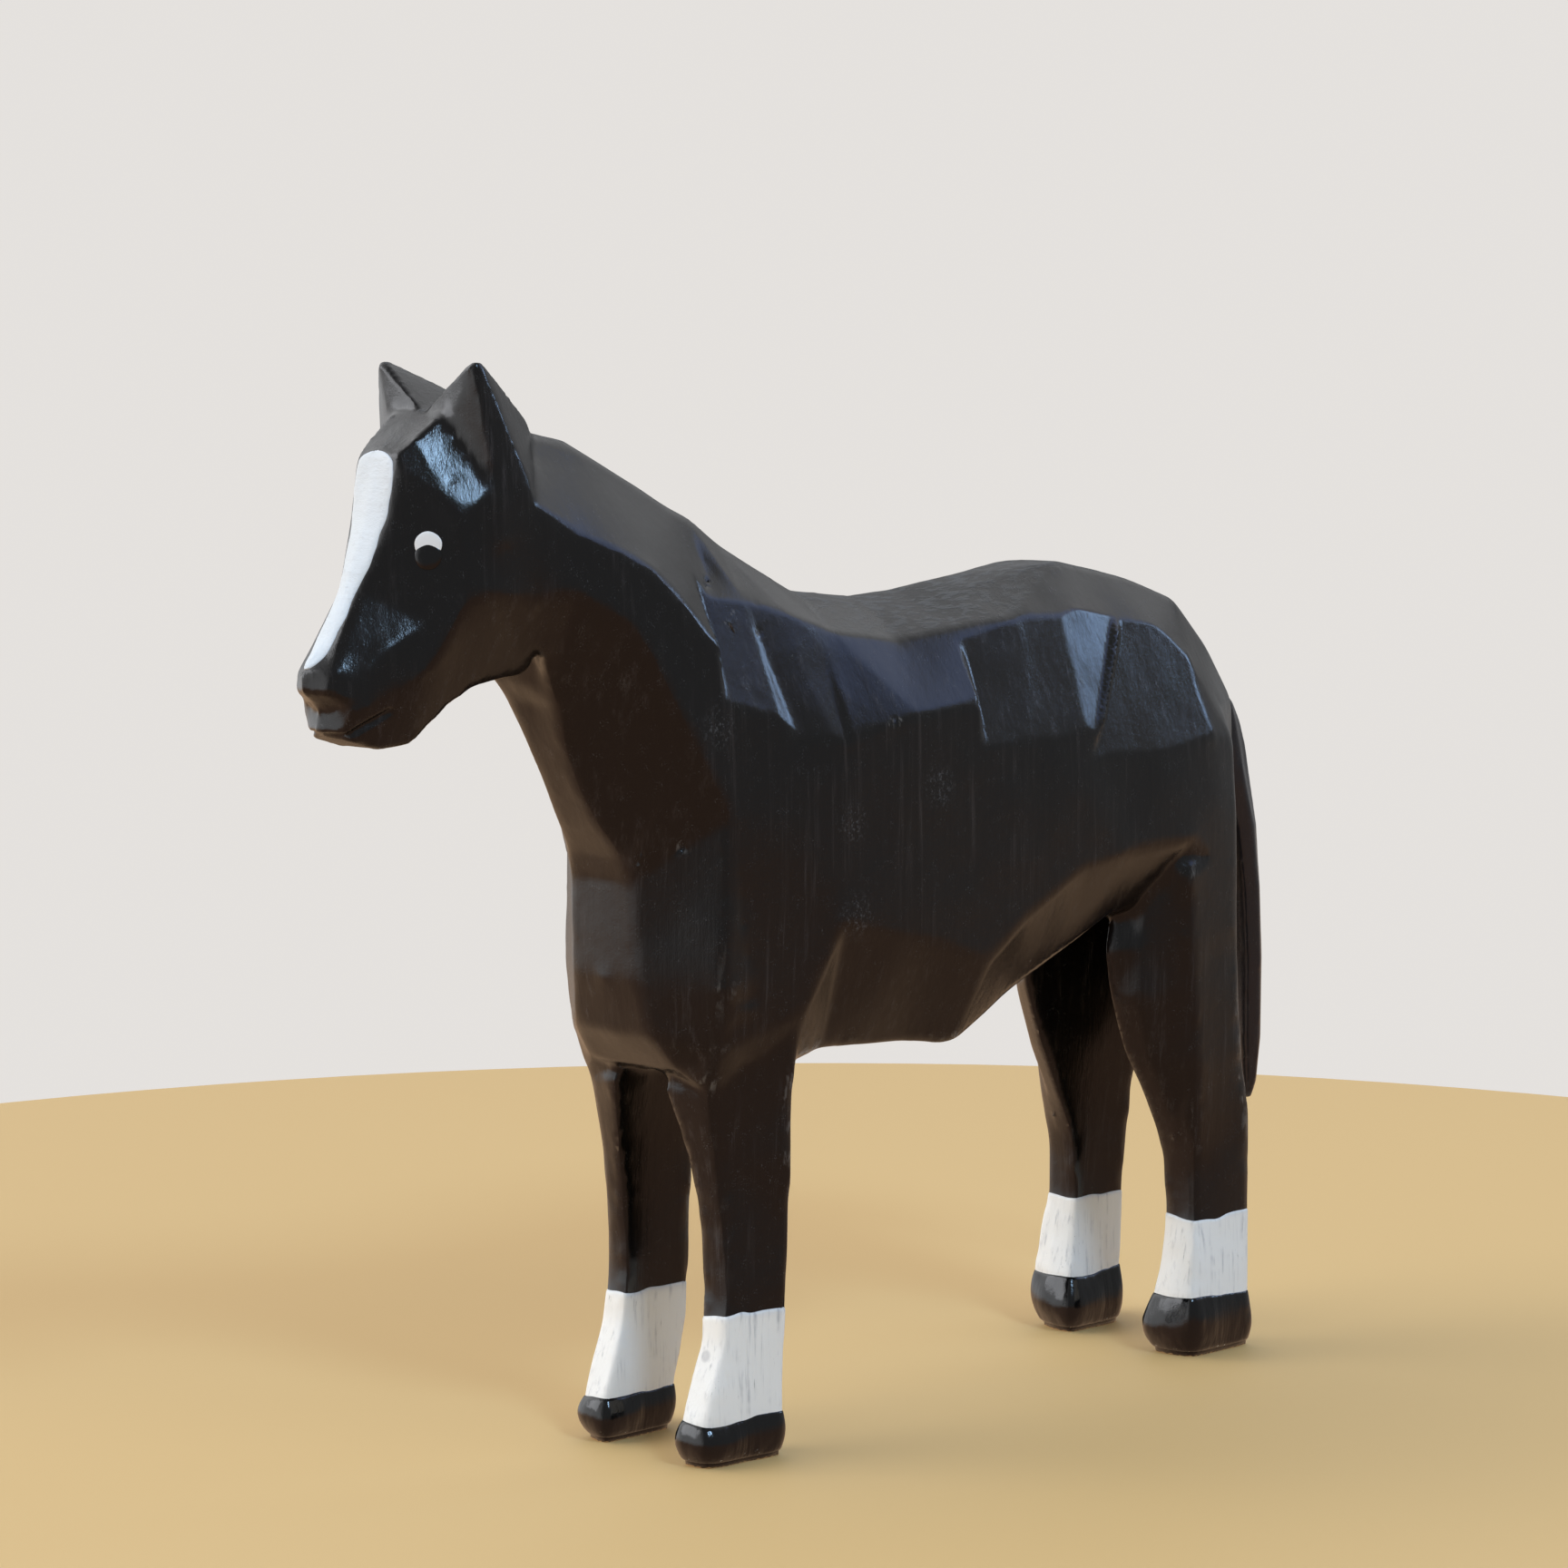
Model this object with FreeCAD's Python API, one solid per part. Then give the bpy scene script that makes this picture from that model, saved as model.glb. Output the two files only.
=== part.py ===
import FreeCAD, Part
import os

# A hand-carved, painted wooden horse.  One upright block is cut with a knife into flat facets: head, neck,
# trunk and four legs.  The tail is a separate slip of wood on a glued dowel, and every painted mark that isn't
# black (blaze, eyes, socks, hooves) is its own thin coat lying on the wood.
# Millimetres.  +Z up, nose towards -Y, the horse's left side towards +X.  The horse is the same on both sides.

# ---- driving sizes ----
WHEELBASE = 65.0        # middle of the fore hooves to middle of the hind hooves
BELLY_Z = 36.0          # floor to the underside of the chest and belly
FLANK_HALF = 12.2       # half the width of the barrel
CHEST_HALF = 11.0       # half the width over the shoulders
HAUNCH_HALF = 10.7      # half the width over the haunches and the hind legs
BACK_HALF = 3.2         # half the width of the flat strip along the back
RIDGE_HALF = 8.0        # half the width at the arris between back and flank
CREST_HALF = 2.4        # half the width of the neck's crest
POLL_FORWARD = 26.5     # poll, ahead of the fore legs
POLL_RISE = 61.8        # poll, above the belly
CHEEK_HALF = 7.7        # half the width of the head over the cheeks
EAR_RISE = 2.2          # ear tips, above the poll
EAR_SPREAD = 6.4        # ear tips, out from the middle
FORE_HALF_OUT = 9.4     # outer side of the fore hooves
FORE_HALF_IN = 5.0      # inner side of the fore hooves
HIND_HALF_IN = 5.3      # inner side of the hind hooves
FORE_HOOF_H = 4.2       # height of the black hoof paint
HIND_HOOF_H = 6.0
FORE_SOCK_TOP = 13.7    # height of the upper edge of the white sock
HIND_SOCK_TOP = 14.0
SOLE_BARE = 0.4         # unpainted wood left round each sole
COAT = 0.12             # thickness of a raised paint coat
EYE_R = 1.36            # white of the eye
PUPIL_R = 1.15
PUPIL_DROP = 0.95       # the pupil sits this much below the white's middle
EYE_ALONG = 0.57        # how far the eye is across the flat of the cheek, from the face strip
EYE_UP = 0.4
TAIL_HALF = 2.6         # half the width of the tail
TAIL_DROP = 40.5        # tail root to tail tip
SEAT_H = 9.0            # height of the flat on the rump
PEG_R = 1.0             # dowel that holds the tail
PEG_LEN = 9.0
PEG_CLEAR = 0.05        # glue gap round the dowel
PEG_TAIL_DEPTH = 2.6    # how far the dowel goes into the tail

# ---- places worked out from them ----
FORE_Y = -20.0
HIND_Y = FORE_Y + WHEELBASE
POLL_Y = FORE_Y - POLL_FORWARD
POLL_Z = BELLY_Z + POLL_RISE
SEAT_Y = HIND_Y + 9.4       # flat seat on the rump, where the tail sits
ROOT_Z = BELLY_Z + 27.2


# ---- building with flat facets ----
def facet(a, b, c):
    """Triangle, or nothing if its corners are in line."""
    if (b - a).cross(c - a).Length < 1e-6:
        return []
    return [Part.Face(Part.makePolygon([a, b, c, a]))]


def quad(a, b, c, d):
    """Two triangles, folded the way that leaves more wood standing."""
    bulge = (b - a).cross(c - a).dot(d - a)
    if bulge < 0:
        return facet(a, b, c) + facet(a, c, d)
    return facet(a, b, d) + facet(b, c, d)


def tube(rings):
    """Closed solid through rings that hold the same number of points, with a flat or faceted end each side."""
    faces = []
    count = len(rings[0])
    for ring, after in zip(rings[:-1], rings[1:]):
        for i in range(count):
            k = (i + 1) % count
            faces += quad(ring[i], ring[k], after[k], after[i])
    for ring, way in ((rings[0], -1), (rings[-1], 1)):
        middle = FreeCAD.Vector(0, 0, 0)
        for point in ring:
            middle = middle + point * (1.0 / count)
        for i in range(count):
            k = (i + 1) % count
            faces += facet(ring[i], ring[k], middle) if way > 0 else facet(ring[k], ring[i], middle)
    shell = Part.makeShell(faces)
    shell.sewShape()
    solid = Part.makeSolid(shell)
    if solid.Volume < 0:
        solid.reverse()
    return solid


def both_sides(half):
    """Full ring from its left half, given from the top middle to the bottom middle."""
    left = [FreeCAD.Vector(*point) for point in half]
    right = [FreeCAD.Vector(-point.x, point.y, point.z) for point in reversed(left[1:-1])]
    return left + right


def joined(solids):
    whole = solids[0].multiFuse(solids[1:])
    return whole.removeSplitter()


def mirrored(shape):
    return shape.mirror(FreeCAD.Vector(0, 0, 0), FreeCAD.Vector(1, 0, 0))


# ---- trunk ----
def trunk_rings():
    """Each ring: back middle, back edge, upper arris, flank top, flank middle, flank foot, belly edge, belly."""
    b, r, f, s = BACK_HALF, RIDGE_HALF, FLANK_HALF, CHEST_HALF
    fore, mid, hind = FORE_Y, (FORE_Y + HIND_Y) / 2, HIND_Y
    z = BELLY_Z
    return [both_sides(half) for half in (
        [(0, fore + 4.9, z + 47.1), (b - 0.6, fore + 2.7, z + 47.2), (r - 0.8, fore + 1.6, z + 42.5),
         (f - 0.8, fore + 4.4, z + 30.0), (s, fore - 3.9, z + 23.9), (s - 1.0, fore - 4.2, z + 2.5),
         (r - 1, fore - 1, z + 0.4), (0, fore - 1, z + 0.4)],
        [(0, fore + 9.6, z + 44.7), (b - 0.2, fore + 7.7, z + 44.6), (r - 0.3, fore + 6.7, z + 41.0),
         (f - 0.5, fore + 7.6, z + 30.0), (f - 0.5, fore + 5.3, z + 20.0), (s + 0.1, fore + 5.4, z + 5.0),
         (r + 1.4, fore + 5.8, z + 0.2), (0, fore + 5.8, z + 0.4)],
        [(0, fore + 14, z + 42.6), (b, fore + 12.5, z + 42.1), (r, fore + 11.6, z + 39.3),
         (f - 0.2, fore + 10.6, z + 30.0), (f - 0.2, fore + 9.5, z + 21), (f - 0.2, fore + 9.6, z + 12.9),
         (r, fore + 10.4, z + 0.7), (0, fore + 10.4, z + 0.7)],
        [(0, fore + 22, z + 41.8), (b, fore + 21.5, z + 41.0), (r, fore + 20.2, z + 38.1),
         (f - 0.1, fore + 19, z + 31.5), (f, fore + 20, z + 21), (f, fore + 20, z + 10.4),
         (r, fore + 22, z + 0.1), (0, fore + 22, z + 0.1)],
        [(0, mid - 4.5, z + 42.3), (b, mid - 4.9, z + 40.9), (r, mid - 4, z + 39.0),
         (f - 0.2, mid - 6.1, z + 32.0), (f, mid - 4.5, z + 21), (f, mid - 3.9, z + 7.5),
         (r + 0.5, mid - 5, z - 0.7), (0, mid - 5, z - 0.7)],
        [(0, mid + 3.5, z + 43.3), (b, mid + 2.5, z + 42.3), (r, mid + 4.3, z + 39.6),
         (f - 0.2, mid + 0.5, z + 28.0), (f, mid + 2.5, z + 21), (f, mid + 1.5, z + 11.3),
         (r, mid + 2.9, z + 3.2), (0, mid + 2.9, z + 3.2)],
        [(0, hind - 20, z + 43.9), (b, hind - 17.8, z + 44.3), (r, hind - 19.5, z + 39.3),
         (f - 0.3, hind - 25, z + 28.0), (f, hind - 22, z + 22.5), (f, hind - 23, z + 15.3),
         (r, hind - 23, z + 6), (0, hind - 23, z + 6)],
        [(0, hind - 14.5, z + 44.1), (b, hind - 13, z + 43.4), (r + 0.3, hind - 13, z + 37.0),
         (f - 0.6, hind - 20.7, z + 29.3), (f - 0.4, hind - 18, z + 22), (f - 0.2, hind - 15.4, z + 16.3),
         (r + 0.5, hind - 15, z + 9.8), (0, hind - 15, z + 8)],
        [(0, hind - 8, z + 42.6), (b, hind - 7.4, z + 42.3), (r + 0.2, hind - 8, z + 36.8),
         (HAUNCH_HALF + 0.6, hind - 12, z + 29), (HAUNCH_HALF + 1, hind - 9.5, z + 23),
         (HAUNCH_HALF + 1, hind - 7.1, z + 16.6), (r - 1, hind - 8, z + 10), (0, hind - 8, z + 8)],
        [(0, hind + 0.3, z + 40.1), (b, hind - 0.2, z + 40.0), (r + 0.3, hind - 3.6, z + 34.4),
         (HAUNCH_HALF + 0.2, hind - 3, z + 27), (HAUNCH_HALF + 0.4, hind - 2.5, z + 21),
         (HAUNCH_HALF + 0.3, hind - 2, z + 14), (r - 1, hind - 1, z + 10), (0, hind - 1, z + 8)],
        [(0, hind + 5.4, z + 35.4), (b, hind + 4.8, z + 35.2), (r - 0.2, hind + 1.8, z + 29.4),
         (HAUNCH_HALF - 0.9, hind + 1.6, z + 25.8), (HAUNCH_HALF - 0.4, hind + 1.7, z + 18),
         (HAUNCH_HALF - 0.2, hind + 1.7, z + 10), (r - 2, hind + 2.5, z + 8), (0, hind + 3, z + 8)],
        [(0, hind + 9.5, z + 30.0), (b, hind + 9, z + 29.4), (r - 2.4, hind + 6, z + 25),
         (r - 1.4, hind + 4.6, z + 21), (r - 1.4, hind + 4.4, z + 16), (r - 1.4, hind + 4.4, z + 12),
         (r - 4, hind + 5, z + 9), (0, hind + 5, z + 8)],
        [(0, hind + 10.2, z + 26.8), (b - 0.2, hind + 9.6, z + 25.4), (b + 1, hind + 7.4, z + 22.5),
         (b + 1.2, hind + 6.6, z + 18), (b + 1.2, hind + 6.2, z + 15), (b + 1, hind + 6, z + 12.5),
         (b - 1, hind + 6, z + 10), (0, hind + 6, z + 9)],
    )]


# ---- neck ----
def neck_rings():
    """Each ring: crest, crest edge, upper arris, side arris, lower arris, throat edge, throat middle."""
    c, s = CREST_HALF, CHEST_HALF
    fore, z = FORE_Y, BELLY_Z
    py, pz = POLL_Y, POLL_Z
    return [both_sides(half) for half in (
        [(0, py + 5.5, pz - 3.6), (c - 0.4, py + 4.8, pz - 3.6), (c + 1.2, py + 4.5, pz - 5),
         (CHEEK_HALF - 0.1, py + 1.6, pz - 9.4), (CHEEK_HALF - 0.12, py + 2.4, pz - 18.2),
         (3.0, py + 7.6, pz - 25.6), (0, py + 7.6, pz - 26.2)],
        [(0, py + 12.7, pz - 4.9), (c, py + 10.7, pz - 4.9), (c + 1.7, py + 9.8, pz - 7.3),
         (CHEEK_HALF + 0.5, py + 7.6, pz - 12.9), (CHEEK_HALF + 0.7, py + 7.1, pz - 17.9),
         (3.2, py + 9.0, pz - 28.1), (0, py + 9.2, pz - 28.1)],
        [(0, py + 17, pz - 7.0), (c, py + 14.9, pz - 6.9), (c + 1.9, py + 14.1, pz - 9.2),
         (s - 2.2, py + 12.3, pz - 14.7), (s - 1.8, py + 12.2, pz - 20.6), (2.6, py + 10.5, pz - 31.8),
         (0, py + 10.5, pz - 31.8)],
        [(0, fore - 5.2, z + 52.7), (c, fore - 7.3, z + 52.8), (c + 1.2, fore - 7.7, z + 51.4),
         (s - 1.8, fore - 11.4, z + 45.7), (s - 1.2, fore - 12.2, z + 38.6), (2.4, fore - 14, z + 25.8),
         (0, fore - 14, z + 25.8)],
        [(0, fore - 1.8, z + 50.9), (c, fore - 3.9, z + 51.0), (c + 0.9, fore - 4.2, z + 50.2),
         (s - 1.1, fore - 8.6, z + 43.0), (s - 0.8, fore - 10.4, z + 35.2), (2.8, fore - 12.3, z + 22.8),
         (0, fore - 12.3, z + 22.8)],
        [(0, fore + 1.5, z + 49.5), (c + 0.2, fore - 1, z + 49.6), (c + 2.6, fore - 1.5, z + 45.6),
         (s - 0.5, fore - 5, z + 38.9), (s - 0.4, fore - 8, z + 30.8), (3.6, fore - 10.2, z + 19.8),
         (0, fore - 10.2, z + 19.8)],
        [(0, fore + 4.9, z + 47.1), (BACK_HALF - 0.6, fore + 2.7, z + 47.2),
         (RIDGE_HALF - 0.8, fore + 1.6, z + 42.5),
         (FLANK_HALF - 0.8, fore + 4.4, z + 30.0), (s, fore - 3.9, z + 23.9), (4.0, fore - 9.6, z + 17.8),
         (0, fore - 9.6, z + 17.8)],
        [(0, fore + 12, z + 30), (1.5, fore + 12, z + 29),
         (3.5, fore + 12, z + 26), (s - 3, fore + 12, z + 20),
         (s - 3, fore + 4, z + 14), (2, fore, z + 12), (0, fore, z + 12)],
    )]


# ---- chest, below the neck and ahead of the fore legs ----
def chest_rings():
    """Level rings: front middle, front edge, shoulder arris, then two buried points."""
    s = CHEST_HALF
    fore, z = FORE_Y, BELLY_Z
    halves = (
        [(0, fore - 9.6, z + 17.8), (4.0, fore - 9.6, z + 17.8), (s, fore - 3.9, z + 23.9),
         (s - 1.5, fore + 8, z + 22), (0, fore + 8, z + 20)],
        [(0, fore - 9.4, z + 8.6), (4.3, fore - 9.2, z + 8.6), (s, fore - 4.3, z + 8.0),
         (s - 0.8, fore + 5.2, z + 8), (0, fore + 8, z + 8)],
        [(0, fore - 8.4, z + 3.6), (5.1, fore - 8.3, z + 3.8), (s - 1.0, fore - 4.2, z + 2.5),
         (s - 1.2, fore + 5.2, z + 2.5), (0, fore + 6, z + 2.5)],
        [(0, fore - 5.4, z + 0.0), (6.1, fore - 5.6, z + 0.2), (s - 2.6, fore - 4.1, z - 1.6),
         (s - 2.2, fore + 4.8, z - 1.0), (0, fore + 5, z + 0.4)],
    )
    return [both_sides(half) for half in halves]


# ---- head ----
def head_rings():
    """Each ring: face middle, strip edge, cheek arris, lower cheek, jaw edge, jaw middle."""
    k = CHEEK_HALF
    y, z = POLL_Y, POLL_Z
    return [both_sides(half) for half in (
        [(0, y + 4.5, z - 3.2), (2.8, y + 3.6, z - 3.8),
         (k + 0.1, y + 2.6, z - 9.1), (k, y + 3.4, z - 18.6),
         (4.0, y + 5.7, z - 25.0), (0, y + 5.7, z - 25.2)],
        [(0, y - 3.3, z - 2.3), (3.4, y - 4.2, z - 2.6),
         (k, y - 1.6, z - 8.6), (k + 0.1, y - 2.0, z - 17.6),
         (4.4, y - 1.2, z - 25.7), (0, y - 1.2, z - 25.9)],
        [(0, y - 8.1, z - 5.4), (2.7, y - 8.3, z - 5.9),
         (k - 0.6, y - 4.6, z - 11.0), (k - 0.2, y - 4.6, z - 18.2),
         (4.2, y - 3.6, z - 27.0), (0, y - 3.6, z - 27.0)],
        [(0, y - 9.6, z - 11.5), (2.6, y - 9.2, z - 11.6),
         (k - 0.9, y - 4.9, z - 15.4), (k - 0.8, y - 5.8, z - 20.6),
         (3.8, y - 5.4, z - 28.6), (0, y - 5.4, z - 28.6)],
        [(0, y - 11.7, z - 16.8), (1.4, y - 11.4, z - 17.0),
         (k - 2.1, y - 6.9, z - 19.8), (k - 2.1, y - 7.8, z - 24.2),
         (3.3, y - 7.4, z - 30.4), (0, y - 7.4, z - 30.4)],
        [(0, y - 14.1, z - 21.3), (1.6, y - 13.9, z - 21.2),
         (k - 3.2, y - 10.3, z - 21.8), (k - 3.2, y - 10.5, z - 26),
         (3.0, y - 10.4, z - 30.7), (0, y - 10.4, z - 30.7)],
        [(0, y - 16.5, z - 23.8), (2.3, y - 15.2, z - 23.9),
         (k - 3.9, y - 12.8, z - 24.3), (k - 3.8, y - 12.8, z - 27),
         (2.7, y - 13.4, z - 29.8), (0, y - 13.6, z - 29.8)],
        [(0, y - 16.5, z - 25.6), (2.2, y - 15.5, z - 25.7),
         (k - 4.4, y - 14.0, z - 26.2), (k - 4.4, y - 13.8, z - 27.4),
         (2.2, y - 14.2, z - 29.2), (0, y - 14.9, z - 29.0)],
    )]


# ---- legs ----
def grown(section, by):
    """A level convex section moved outwards by the same amount all round."""
    points = [FreeCAD.Vector(*point) for point in section]
    count = len(points)
    result = []
    for i in range(count):
        before, here, after = points[i - 1], points[i], points[(i + 1) % count]
        first = (here - before)
        second = (after - here)
        first.z = second.z = 0
        first.normalize()
        second.normalize()
        n1 = FreeCAD.Vector(first.y, -first.x, 0)
        n2 = FreeCAD.Vector(second.y, -second.x, 0)
        middle = n1 + n2
        result.append(here + middle * (by / (1 + n1.dot(n2))))
    return result


def fore_leg(by=0.0):
    """Left fore leg, from inside the chest to the sole: inner front, outer front, outer rear, inner rear."""
    y, z, i, o = FORE_Y, BELLY_Z, FORE_HALF_IN, FORE_HALF_OUT
    sections = (
        [(2.0, y - 3.5, z + 6), (CHEST_HALF - 0.3, y - 3.9, z + 6),
         (CHEST_HALF - 0.2, y + 5, z + 6), (1.5, y + 6, z + 6)],
        [(3.2, y - 5.2, z - 1.6), (o - 1.3, y - 3.9, z - 2.2),
         (o + 0.9, y + 5.1, z - 2.6), (2.8, y + 6, z - 1.6)],
        [(4.6, y - 3.4, z - 8.2), (o - 1.6, y - 2.8, z - 8.4),
         (o + 0.8, y + 4.9, z - 8), (4.0, y + 6.0, z - 8)],
        [(4.9, y - 2.5, 22.2), (o - 1.4, y - 2.1, 21.5), (o + 0.3, y + 5.0, 22), (4.3, y + 6.0, 22)],
        [(i, y - 2.0, 15.8), (o - 1.2, y - 1.8, 15.4), (o + 0.2, y + 4.7, 15.5), (4.5, y + 5.8, 15.5)],
        [(i + 0.2, y - 2.4, 11.0), (o - 1.0, y - 2.2, 11.0), (o + 0.1, y + 4.6, 11), (4.6, y + 5.5, 11)],
        [(i, y - 3.9, 6.6), (o - 0.9, y - 3.8, 6.8), (o, y + 4.5, 6.8), (4.8, y + 4.9, 6.6)],
        [(i, y - 5.0, 3.6), (o - 0.9, y - 4.7, 3.8), (o, y + 4.6, 3.6), (i, y + 4.0, 4.4)],
        [(i, y - 4.8, 0), (o - 0.9, y - 4.4, 0), (o - 0.1, y + 4.5, 0), (i + 0.1, y + 3.9, 0)],
    )
    return tube([grown(section, by) for section in sections])


def hind_leg(by=0.0):
    """Left hind leg, from inside the haunch to the sole: inner front, mid front, outer front, outer rear,
    inner rear.  High up, the mid front stands forward as a web towards the belly."""
    y, z, i, o = HIND_Y, BELLY_Z, HIND_HALF_IN, HAUNCH_HALF
    sections = (
        [(5.4, y - 11.5, z + 13), (9.0, y - 10.0, z + 13.5), (o + 1, y - 7.1, z + 14.5),
         (o - 0.2, y + 1.7, z + 14), (1.0, y + 6, z + 13)],
        [(5.5, y - 13.2, z + 5.6), (8.6, y - 10.6, z + 6), (o + 0.8, y - 6.4, z + 7),
         (o - 0.1, y + 1.8, z + 7), (1.2, y + 5.6, z + 6)],
        [(5.5, y - 12.3, z + 1.0), (8.6, y - 10.6, z + 0.4), (o + 0.6, y - 5.7, z + 2),
         (o, y + 2.1, z), (1.9, y + 5.0, z + 2)],
        [(5.5, y - 10.1, z - 5), (8.4, y - 8.6, z - 5.6), (o + 0.4, y - 5.1, z - 6),
         (o, y + 2.9, z - 6), (3.4, y + 4, z - 6)],
        [(6.0, y - 6.6, 24.8), (8.3, y - 5.8, 24.5), (o - 0.1, y - 4.6, 24),
         (o, y + 4.0, 25.2), (4.4, y + 3.2, 25)],
        [(6.0, y - 4.6, 20.2), (8.0, y - 4.4, 20), (o - 0.6, y - 4.1, 19.4),
         (o, y + 4.4, 21), (4.9, y + 3.0, 20)],
        [(6.0, y - 4.0, 13.8), (8.0, y - 4.1, 13.8), (o - 0.6, y - 4.0, 13.8),
         (o, y + 4.4, 13.4), (i, y + 2.8, 13.6)],
        [(5.8, y - 4.4, 9.2), (8.0, y - 4.8, 9.6), (o - 0.1, y - 4.8, 10),
         (o, y + 4.3, 9), (i + 0.2, y + 2.7, 9.2)],
        [(i + 0.1, y - 5.2, 5.8), (8.0, y - 5.6, 6), (o + 0.1, y - 5.3, 6.2),
         (o, y + 4.3, 5.2), (i + 0.3, y + 2.6, 5.6)],
        [(i - 0.3, y - 5.9, 2.4), (8.0, y - 5.8, 2.5), (o, y - 5.0, 2.5),
         (o, y + 4.6, 2.5), (i, y + 2.5, 2.5)],
        [(i, y - 5.2, 0), (8.0, y - 5.2, 0), (o - 0.1, y - 4.4, 0), (o, y + 4.7, 0), (i, y + 2.5, 0)],
    )
    return tube([grown(section, by) for section in sections])


# ---- ears ----
def ear():
    """Left ear: a flat-sided point, hollowed on the outside by one slanting cut."""
    y, z = POLL_Y, POLL_Z
    tip = FreeCAD.Vector(EAR_SPREAD, y - 2.7, z + EAR_RISE)
    base = [FreeCAD.Vector(*point) for point in (
        (0, y - 3.1, z - 2.3), (3.8, y - 3.6, z - 4.1), (CHEEK_HALF + 0.2, y - 1.5, z - 9.6),
        (CHEEK_HALF + 0.1, y + 2.6, z - 9.1), (2.8, y + 6.6, z - 3.4), (0, y + 7.0, z - 3.0))]
    top = [tip + FreeCAD.Vector(*shift) for shift in (
        (-0.5, -0.1, 0), (-0.1, -0.3, -0.1), (0.3, 0.1, -0.2),
        (0.3, 0.5, -0.2), (0.1, 0.7, 0), (-0.3, 0.4, 0))]
    foot = [point + FreeCAD.Vector(0, 0, -4) for point in base]
    return tube([foot, base, top])


# ---- tail ----
def tail_slip():
    """The tail, hanging from a flat seat on the rump.  Each section: two front corners, two sides, two rear."""
    w = TAIL_HALF
    # each level: below the root, front face behind the seat, rear face behind the seat, share of the width
    levels = (
        (-2.6, 0.0, 1.4, 0.55),
        (-1.4, 0.0, 2.8, 0.70),
        (0.8, 0.0, 3.8, 0.80),
        (3.0, 0.0, 4.5, 0.88),
        (7.0, 1.0, 5.3, 0.95),
        (11.5, 2.6, 6.3, 1.0),
        (18.0, 3.8, 6.9, 1.0),
        (25.5, 4.4, 7.4, 0.95),
        (34.0, 4.9, 7.6, 0.80),
        (38.6, 5.4, 7.3, 0.60),
        (TAIL_DROP, 5.9, 6.7, 0.35),
    )
    rings = []
    for drop, front, rear, share in levels:
        half = w * share
        middle = front + 0.45 * (rear - front)
        outline = ((half * 0.7, front), (half, middle), (half * 0.5, rear),
                   (-half * 0.5, rear), (-half, middle), (-half * 0.7, front))
        rings.append([FreeCAD.Vector(x, SEAT_Y + dy, ROOT_Z - drop) for x, dy in outline])
    return tube(rings)


def along_y(radius, y0, y1):
    return Part.makeCylinder(radius, y1 - y0, FreeCAD.Vector(0, y0, ROOT_Z), FreeCAD.Vector(0, 1, 0))


# ---- paint coats ----
def leg_band(leg, bottom, top, wood):
    """Coat round a left leg between two heights."""
    slab = Part.makeBox(60, 400, top - bottom, FreeCAD.Vector(-30, -200, bottom))
    return leg(COAT).common(slab).cut(wood)


def blaze_coat(wood):
    """The white stripe down the flat of the face, round at both ends."""
    front, z = POLL_Y + 1.5, POLL_Z
    half_widths = ((-6.2, 2.1), (-7.4, 2.5), (-9.0, 2.65), (-11.4, 2.3), (-14.2, 1.8), (-17.2, 1.2),
                   (-19.8, 1.15), (-21.4, 1.35), (-22.6, 1.3))
    left = [FreeCAD.Vector(half, front, z + dz) for dz, half in half_widths]
    right = [FreeCAD.Vector(-point.x, front, point.z) for point in left]
    crown = Part.Arc(right[0], FreeCAD.Vector(0, front, z - 5.5), left[0]).toShape()
    foot = Part.Arc(left[-1], FreeCAD.Vector(0, front, z - 23.7), right[-1]).toShape()
    left_edge = Part.makePolygon(left).Edges
    right_edge = Part.makePolygon(right[::-1]).Edges
    outline = Part.Wire([crown] + left_edge + [foot] + right_edge)
    prism = Part.Face(outline).extrude(FreeCAD.Vector(0, -25, 0))
    outward = FreeCAD.Vector(0, -0.936, 0.352)
    lifted = wood.copy()
    lifted.translate(outward * COAT)
    return lifted.common(prism).cut(wood)


def eye_coats(wood):
    """White disc and the black pupil over its lower part, on the flat below the temple."""
    above, here = head_rings()[2:4]
    across = here[2] - here[1]
    outward = across.cross(above[1] - here[1])
    outward.normalize()
    upward = (FreeCAD.Vector(0, 0, 1) - outward * outward.z)
    upward.normalize()
    centre = here[1] + across * EYE_ALONG + upward * EYE_UP
    deep = 1.0
    disc = Part.makeCylinder(EYE_R, deep + COAT, centre - outward * deep, outward)
    below = centre - outward * deep - upward * PUPIL_DROP
    pupil = Part.makeCylinder(PUPIL_R, deep + COAT * 1.5, below, outward)
    return disc.cut(pupil).cut(wood), pupil.cut(wood)


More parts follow.
